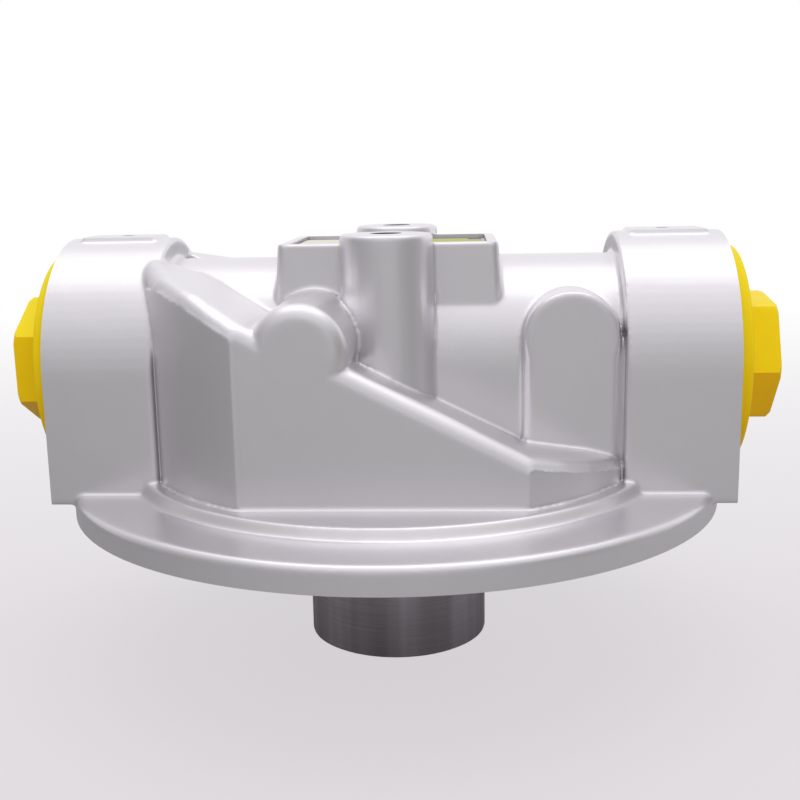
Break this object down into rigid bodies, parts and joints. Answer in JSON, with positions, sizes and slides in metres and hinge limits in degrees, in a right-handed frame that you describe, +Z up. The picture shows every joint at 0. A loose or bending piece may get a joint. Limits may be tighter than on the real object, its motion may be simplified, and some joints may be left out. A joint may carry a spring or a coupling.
{
  "type": "hydraulic filter housing",
  "caption": "Cast spin-on hydraulic filter head with side ports closed by screw plugs, a central spigot for the canister and an internal bypass valve.",
  "frame": {"origin": "the spigot's axis at the plane of the disc's underside, where the canister seals", "axes": "+X from the inlet port to the outlet port, +Z up away from the canister, -Y towards the side with the valve dome"},
  "size_m": [0.1814, 0.157, 0.1018],
  "materials": {
    "cast_aluminium": "satin fine cast",
    "spigot_steel": "dark turned steel",
    "plug_plastic": "satin moulded plastic",
    "label_film": "matte film",
    "valve_steel": "turned",
    "screw_steel": "blackened",
    "spring_steel": "drawn wire",
    "valve_brass": "turned",
    "seal_rubber": "matte"
  },
  "bodies": {
    "head": {"head_casting": "cast_aluminium", "centre_spigot": "spigot_steel", "inlet_port_plug": "plug_plastic", "outlet_port_plug": "plug_plastic", "name_plate": "label_film", "valve_body": "valve_steel", "valve_body_o_ring": "seal_rubber", "bypass_spring": "spring_steel", "spring_retainer": "valve_steel", "retaining_ring": "spring_steel"},
    "poppet": {"bypass_poppet": "valve_brass", "poppet_seal": "seal_rubber", "seal_clamp_washer": "valve_steel", "seal_screw": "screw_steel"}
  },
  "joints": [
    {"name": "bypass_lift", "type": "slide", "parent": "head", "child": "poppet", "axis": [1, 0, 0], "range_m": [0, 0.006], "stiffness_N_per_m": 6600, "springref_m": -0.009, "deforming": ["bypass_spring"]}
  ]
}
